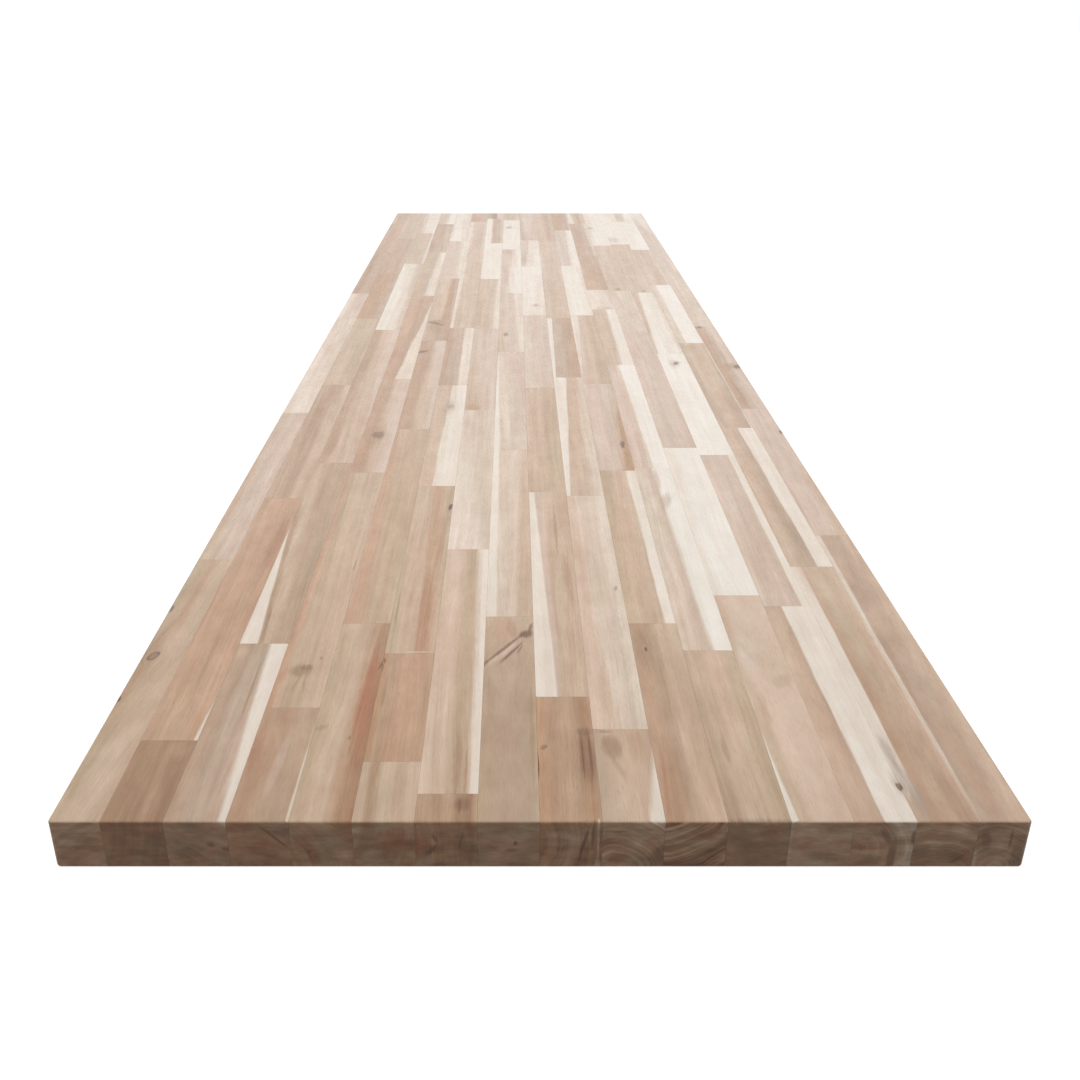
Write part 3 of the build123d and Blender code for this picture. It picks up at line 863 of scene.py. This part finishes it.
def stave_marks(row, number, edge, start, end, points, chance):
    """Everything that the timber's finish reads at each point of one stave, by name."""
    grain, middle, rings = place_in_log(row, edge, start, end, points, chance)
    marks = {"grain": grain, "rings": np.full((len(points), 3), rings)}
    marks.update(tone_marks(STAVES[row][number], edge, start, end, points, middle))
    marks.update(knot_marks(row, edge, start, end, points))
    marks.update(stain_marks(row, edge, start, end, points))
    return marks


def make_row(name, node, number):
    """One row of staves as a mesh: a closed box for each stave, all in one object."""
    low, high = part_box(name)
    low_x, high_x = low.x / MM, high.x / MM
    outer_left = math.isclose(low_x, left_side, abs_tol=0.01)
    outer_right = math.isclose(high_x, right_side, abs_tol=0.01)
    section = row_section(low_x, high_x, outer_left, outer_right)
    joints = stave_joints(node)
    charts = row_charts(joints, outer_left, outer_right)
    chance = np.random.default_rng(SEED + number)
    points, faces, marks, places, found = [], [], [], [], 0
    for stave, (start, end) in enumerate(joints):
        quads = stave_quads(section, start, end, charts[stave])
        corners, which = np.unique(quads[..., :3].reshape(-1, 3).round(5), axis=0, return_inverse=True)
        points.append(corners)
        faces.append(which.reshape(-1, 4) + found)
        places.append(quads[..., 3:].reshape(-1, 2))
        marks.append(stave_marks(name, stave, low_x, start, end, corners, chance))
        found += len(corners)
    mesh = bpy.data.meshes.new(name + "_staves")
    mesh.from_pydata(np.concatenate(points) * MM, [], np.concatenate(faces).tolist())
    chart = mesh.uv_layers.new(name="OFBake")
    chart.uv.foreach_set("vector", np.concatenate(places).astype(np.float32).ravel())
    for mark in marks[0]:
        values = np.concatenate([stave[mark] for stave in marks]).astype(np.float32)
        kind, field = ("FLOAT_COLOR", "color") if values.shape[1] == 4 else ("FLOAT_VECTOR", "vector")
        attribute = mesh.attributes.new(mark, kind, "POINT")
        attribute.data.foreach_set(field, values.ravel())
    mesh.shade_smooth()
    mesh.set_sharp_from_angle(angle=math.radians(SHARP_ANGLE))
    mesh.update()
    piece = bpy.data.objects.new(name + "_staves", mesh)
    bpy.context.scene.collection.objects.link(piece)
    return piece


class Link:
    """A socket's output. Arithmetic on it adds Math nodes."""

    def __init__(self, finish, socket):
        self.finish = finish
        self.socket = socket

    def __add__(self, other):
        return self.finish.math("ADD", self, other)

    def __radd__(self, other):
        return self.finish.math("ADD", other, self)

    def __sub__(self, other):
        return self.finish.math("SUBTRACT", self, other)

    def __rsub__(self, other):
        return self.finish.math("SUBTRACT", other, self)

    def __mul__(self, other):
        return self.finish.math("MULTIPLY", self, other)

    def __rmul__(self, other):
        return self.finish.math("MULTIPLY", other, self)

    def __truediv__(self, other):
        return self.finish.math("DIVIDE", self, other)

    def __rtruediv__(self, other):
        return self.finish.math("DIVIDE", other, self)


class Finish:
    """The nodes of one material or of the world."""

    def __init__(self, owner):
        owner.use_nodes = True
        self.tree = owner.node_tree
        self.tree.nodes.clear()

    def node(self, kind, settings, sockets, output=0):
        """Adds a node, sets its settings, then gives its sockets values or links."""
        node = self.tree.nodes.new("ShaderNode" + kind)
        for setting, value in settings.items():
            setattr(node, setting, value)
        for socket, value in sockets.items():
            if isinstance(value, Link):
                self.tree.links.new(value.socket, node.inputs[socket])
            else:
                node.inputs[socket].default_value = value
        return Link(self, node.outputs[output]) if len(node.outputs) else node

    def math(self, operation, *values):
        """One number worked out from others."""
        return self.node("Math", {"operation": operation}, dict(enumerate(values)))

    def attribute(self, name, output="Vector"):
        """What the mesh holds under a name at each point."""
        return self.node("Attribute", {"attribute_name": name}, {}, output)

    def split(self, vector):
        """The three numbers of a vector."""
        apart = self.node("SeparateXYZ", {}, {0: vector}).socket.node
        return [Link(self, output) for output in apart.outputs]

    def join(self, x, y, z):
        """A vector of three numbers."""
        return self.node("CombineXYZ", {}, {0: x, 1: y, 2: z})

    def mix(self, factor, first, second):
        """A colour between two colours."""
        settings = {"data_type": "RGBA"}
        return self.node("Mix", settings, {0: factor, 6: first, 7: second}, 2)

    def blend(self, factor, first, second):
        """A number between two numbers."""
        return self.node("Mix", {"data_type": "FLOAT"}, {0: factor, 2: first, 3: second}, 0)

    def scale(self, colour, by):
        """A colour with each of its three numbers multiplied by its own."""
        return self.node("VectorMath", {"operation": "MULTIPLY"}, {0: colour, 1: by})

    def noise(self, place, scale, detail=2.0, rough=0.5):
        """Smooth noise about nought, mostly within a quarter either way."""
        sockets = {"Vector": place, "Scale": scale, "Detail": detail, "Roughness": rough}
        return self.node("TexNoise", {"noise_dimensions": "3D"}, sockets) - 0.5

    def step(self, value, low, high):
        """Nought below low, one above high, and a smooth rise between."""
        settings = {"interpolation_type": "SMOOTHSTEP"}
        return self.node("MapRange", settings, {"Value": value, "From Min": low, "From Max": high})


class Knots:
    """The knots of a stave: how dark their hearts and rims and the wood about them are, and the
    place across the grain, which is bent so that the grain flows round them. With a the distance
    across from a knot's middle, w its half width and d^2 = a^2 + 0.4 b^2 for a distance b along,
    the place is drawn to that middle by 2.5 a w^2 / (d^2 + 2.5 w^2)."""

    def __init__(self, timber, across, along, deep):
        hearts = timber.split(timber.attribute("hearts"))
        rims = timber.split(timber.attribute("rims"))
        lumps = timber.noise(timber.join(across, along * 0.6, deep), 0.22, 3.0, 0.65)
        drawn = 0
        self.heart = 0
        self.rim = 0
        self.halo = 0
        for number in range(KNOTS_A_STAVE):
            aside, ahead, size = timber.split(timber.attribute(f"knot_{number + 1}"))
            area = size * size
            near = aside * aside + ahead * ahead * 0.4
            drawn = aside * area * 2.5 / (near + area * 2.5) + drawn
            reach = timber.math("SQRT", aside * aside + ahead * ahead) / size + lumps * 1.5
            heart = (1 - timber.step(reach, 0.55, 1.1)) * (0.95 + lumps) * hearts[number]
            rim = timber.step(reach, 0.5, 0.85) * (1 - timber.step(reach, 0.9, 1.3)) * rims[number]
            halo = (1 - timber.step(reach, 0.8, 3.0)) * hearts[number]
            self.heart = timber.math("MAXIMUM", self.heart, heart)
            self.rim = timber.math("MAXIMUM", self.rim, rim)
            self.halo = timber.math("MAXIMUM", self.halo, halo)
        self.bent = across - drawn


class Grain:
    """Noises of the timber, each drawn out along the log. Bands and fine bands follow the growth
    rings: the distance sqrt(a^2 + d^2) from the log's middle, made to wander and sway. Fibres,
    figure, cloud and blush lie in the place itself, from fine to broad."""

    def __init__(self, timber, bent, along, deep):
        join = timber.join
        noise = timber.noise
        wander = noise(join(bent, along * 0.12, deep), 0.02, 2.0) * 16
        self.sway = noise(join(bent * 0.3, along * 0.35, deep * 0.3), 0.025, 2.0) * 5
        ring = timber.math("SQRT", bent * bent + deep * deep) + wander + self.sway * 0.6
        self.bands = noise(join(ring, along * 0.022, 0.0), 0.15, 3.0, 0.62)
        self.fine_bands = noise(join(ring, along * 0.02, deep * 0.05), 0.75, 2.0, 0.6)
        self.fibres = noise(join(bent, along * 0.05, deep), 1.6, 3.0, 0.65)
        self.figure = noise(join(bent, along * 0.45, deep), 0.06, 3.0, 0.6)
        self.cloud = noise(join(bent * 0.7, along * 0.12, deep * 0.7), 0.05, 2.0)
        self.blush = noise(join(bent, along * 0.06, deep + 700.0), 0.06, 2.0)


def toned(timber, grain):
    """A stave's tones from left to right, and how strongly each is streaked. Where two tones
    meet, the edge wavers with the grain."""
    cuts = timber.split(timber.attribute("cuts"))
    softness = timber.split(timber.attribute("softness"))
    waver = grain.sway * 0.7 + grain.bands * 2.0 + grain.fine_bands * 0.9
    colour = timber.attribute("tone_1", "Color")
    streaks = timber.attribute("tone_1", "Alpha")
    for number in range(TONES_A_STAVE - 1):
        passed = timber.step((cuts[number] + waver) / softness[number], -1.0, 1.0)
        following = f"tone_{number + 2}"
        colour = timber.mix(passed, colour, timber.attribute(following, "Color"))
        streaks = timber.blend(passed, streaks, timber.attribute(following, "Alpha"))
    return colour, streaks


def stained(timber, grain, colour):
    """The colour with the stave's stains over it. A stain covers what lies within its half
    width, half length and depth of its middle, and its edge is ragged along the grain."""
    tatters = grain.bands * 0.5 + grain.fine_bands * 0.7 + grain.fibres * 0.6
    for number in range(STAINS_A_STAVE):
        place = timber.attribute(f"stain_{number + 1}")
        reach = timber.node("VectorMath", {"operation": "LENGTH"}, {0: place}, "Value") + tatters
        cover = 1 - timber.step(reach, 0.4, 1.15)
        strength = timber.attribute(f"stain_{number + 1}_tone", "Alpha")
        stain = timber.attribute(f"stain_{number + 1}_tone", "Color")
        colour = timber.mix(cover * strength, colour, stain)
    return colour


def lit(timber, grain, colour, streaks, end_grain, blotch):
    """The colour as the grain lightens and darkens it. Darker streaks are also redder, and some
    parts of a stave are pinker and some greener. On end grain the rings stand out instead. Red,
    green and blue are each multiplied by the square of 1 + a share of the shade and blush."""
    rings = timber.split(timber.attribute("rings"))[0]
    bands = grain.bands
    fine_bands = grain.fine_bands
    shade = bands * 0.74 + fine_bands * 0.34 + grain.fibres * 0.38
    shade = (shade + grain.cloud * 0.32 + grain.figure * 0.52) * streaks * (1 - end_grain * 0.7)
    shade = shade + (bands * rings + fine_bands * rings * 0.5 + blotch * 2.4) * end_grain
    blush = (grain.blush + 0.1) * streaks * 0.08 + grain.blush * end_grain * 0.08
    red = 1 + shade * 0.39 + blush
    green = 1 + shade * 0.5 - blush * 0.5
    blue = 1 + shade * 0.62 - blush * 0.4
    light = timber.join(red, green, blue)
    return timber.scale(timber.scale(colour, light), light)


def make_timber():
    """Acacia staves, cut from different logs. Each stave's own grain place is worked out in
    millimetres from a log's middle, so rings show as lines along it and as arcs on its ends."""
    material = bpy.data.materials.new("acacia")
    timber = Finish(material)
    across, along, deep = timber.split(timber.attribute("grain"))
    knots = Knots(timber, across, along, deep)
    grain = Grain(timber, knots.bent, along, deep)
    colour, streaks = toned(timber, grain)
    colour = stained(timber, grain, colour)

    # End grain drinks the finish unevenly, so it is darker
    normal = timber.node("TexCoord", {}, {}, "Normal")
    facing = timber.math("ABSOLUTE", timber.split(normal)[1])
    # The darker end grain comes in only where a face stands nearly upright, so the rounded edges keep
    # the top's lighter colour: a painted highlight that stands in for the light on a wider rounding.
    end_grain = timber.step(facing, 0.6, 1.0)
    blotch = timber.noise(timber.join(across * 0.45, along, deep * 1.2), 0.11, 3.0, 0.6)
    soaked = timber.scale(timber.mix(0.25, colour, SOAKED_COLOUR), SOAKED_SHADE)
    colour = timber.mix(end_grain, colour, soaked)
    colour = lit(timber, grain, colour, streaks, end_grain, blotch)

    # Open pores, crowded together in some parts of a stave
    pore_place = timber.join(knots.bent, along * 0.07, deep)
    pores = timber.node("TexVoronoi", {}, {"Vector": pore_place, "Scale": 0.8})
    crowd = timber.step(grain.cloud + grain.figure * 0.5, -0.15, 0.2)
    pore = (1 - timber.step(pores, 0.05, 0.24)) * streaks * (0.25 + crowd)
    colour = timber.mix(pore * 0.36, colour, PORE_COLOUR)

    colour = timber.mix(knots.halo * 0.3, colour, HALO_COLOUR)
    colour = timber.mix(knots.heart, colour, HEART_COLOUR)
    colour = timber.mix(knots.rim, colour, RIM_COLOUR)

    height = grain.fibres * 0.6 + grain.fine_bands * 0.4 - pore * 0.8
    bump = timber.node("Bump", {}, {"Strength": 0.2, "Distance": 0.0002, "Height": height})
    rough = 0.28 + grain.fibres * 0.1 + end_grain * 0.3 + pore * 0.1
    sockets = {"Base Color": colour, "Roughness": rough, "Normal": bump, "IOR": 1.5}
    surface = timber.node("BsdfPrincipled", {}, sockets)
    timber.node("OutputMaterial", {}, {"Surface": surface})
    return material


def seen_straight(finish):
    """One where the camera, a reflection or a clear body sees the surface, else nought."""
    path = finish.node("LightPath", {}, {}, "Is Camera Ray").socket.node
    camera = Link(finish, path.outputs["Is Camera Ray"])
    glossy = Link(finish, path.outputs["Is Glossy Ray"])
    clear = Link(finish, path.outputs["Is Transmission Ray"])
    return finish.math("MINIMUM", camera + glossy + clear, 1.0)


def make_world():
    """Even white surroundings, dimmer as a lamp than they look."""
    world = bpy.data.worlds.new("studio")
    studio = Finish(world)
    lamp = studio.node("Background", {}, {"Color": WHITE, "Strength": WORLD_LIGHT})
    seen = studio.node("Background", {}, {"Color": WHITE, "Strength": WORLD_SEEN})
    both = studio.node("MixShader", {}, {0: seen_straight(studio), 1: lamp, 2: seen})
    studio.node("OutputWorld", {}, {"Surface": both})
    bpy.context.scene.world = world


def make_floor():
    """A plain floor just under the countertop, which looks nearly white and keeps its shadow."""
    reach = FLOOR_REACH
    outline = [(-reach, -reach), (reach, -reach), (reach, reach), (-reach, reach)]
    mesh = bpy.data.meshes.new("floor")
    mesh.from_pydata([(x, y, -FLOOR_DROP) for x, y in outline], [], [(0, 1, 2, 3)])
    material = bpy.data.materials.new("floor")
    paint = Finish(material)
    dull = paint.node("BsdfDiffuse", {}, {"Color": FLOOR_GREY})
    white = paint.node("BsdfDiffuse", {}, {"Color": WHITE})
    glow = paint.node("Emission", {}, {"Color": WHITE, "Strength": FLOOR_GLOW})
    pale = paint.node("MixShader", {}, {0: FLOOR_GLOW_SHARE, 1: white, 2: glow})
    both = paint.node("MixShader", {}, {0: seen_straight(paint), 1: dull, 2: pale})
    paint.node("OutputMaterial", {}, {"Surface": both})
    mesh.materials.append(material)
    floor = bpy.data.objects.new("floor", mesh)
    bpy.context.scene.collection.objects.link(floor)


def make_lamp():
    """One wide and very soft lamp overhead, which leaves the near end's upright face in shade."""
    data = bpy.data.lights.new("overhead", "AREA")
    data.shape = "RECTANGLE"
    data.size = LAMP_WIDE
    data.size_y = LAMP_LONG
    data.energy = LAMP_POWER
    lamp = bpy.data.objects.new("overhead", data)
    lamp.location = LAMP_PLACE
    lamp.visible_camera = False
    lamp.visible_glossy = False
    bpy.context.scene.collection.objects.link(lamp)


def make_camera():
    """The view from the near end, down along the countertop."""
    data = bpy.data.cameras.new("camera")
    data.lens = CAMERA_LENS
    data.shift_x = CAMERA_SHIFT
    camera = bpy.data.objects.new("camera", data)
    camera.location = CAMERA_PLACE
    camera.rotation_euler = (math.radians(CAMERA_TILT), 0, 0)
    bpy.context.scene.collection.objects.link(camera)
    bpy.context.scene.camera = camera


bpy.context.scene.view_settings.view_transform = "Standard"
make_camera()
make_world()
make_lamp()
make_floor()
acacia = make_timber()
for number, name in enumerate(sorted(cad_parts)):
    piece = make_row(name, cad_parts[name], number)
    piece.data.materials.append(acacia)
    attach(piece, "root")
    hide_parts(name)
